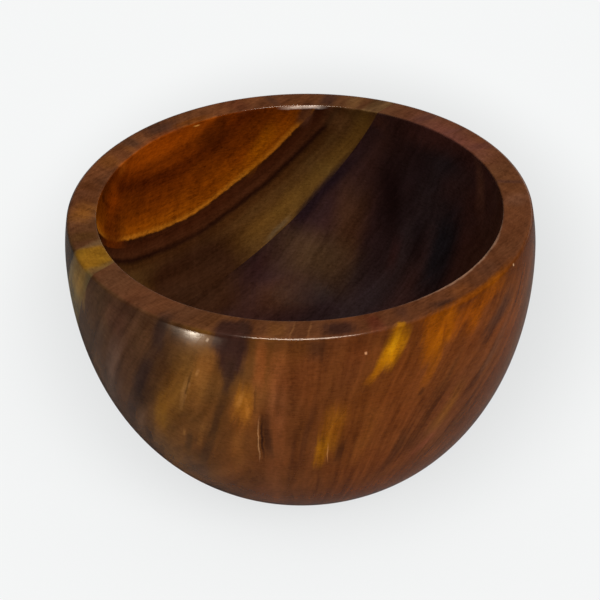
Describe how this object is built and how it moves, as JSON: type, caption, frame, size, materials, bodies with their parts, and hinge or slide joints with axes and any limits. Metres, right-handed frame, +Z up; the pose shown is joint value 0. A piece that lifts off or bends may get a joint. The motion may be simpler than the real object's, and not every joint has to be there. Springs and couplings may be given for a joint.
{
  "type": "wooden bowl",
  "caption": "Deep round turned bowl with a thick softly rounded rim and flat base, glued up from parallel tilted boards of dark, pale and amber wood under clear lacquer.",
  "frame": {"origin": "centre of the flat base, on the surface that the bowl stands on", "axes": "+Z up along the turning axis; the picture looks along +Y and down, with +X to the right"},
  "size_m": [0.15, 0.15, 0.0934],
  "materials": {
    "amber_cap_board": "clear satin lacquer over figured wood",
    "amber_board": "clear satin lacquer over figured wood",
    "sapwood_board": "clear satin lacquer over figured wood",
    "black_heart_board": "clear satin lacquer over figured wood",
    "brown_heart_board": "clear satin lacquer over figured wood",
    "golden_heart_board": "clear satin lacquer over figured wood",
    "red_heart_board": "clear satin lacquer over figured wood",
    "front_board": "clear satin lacquer over figured wood"
  },
  "bodies": {
    "root": {"amber_cap_board": "amber_cap_board", "amber_board": "amber_board", "sapwood_board": "sapwood_board", "black_heart_board": "black_heart_board", "brown_heart_board": "brown_heart_board", "golden_heart_board": "golden_heart_board", "red_heart_board": "red_heart_board", "front_board": "front_board"}
  },
  "joints": []
}
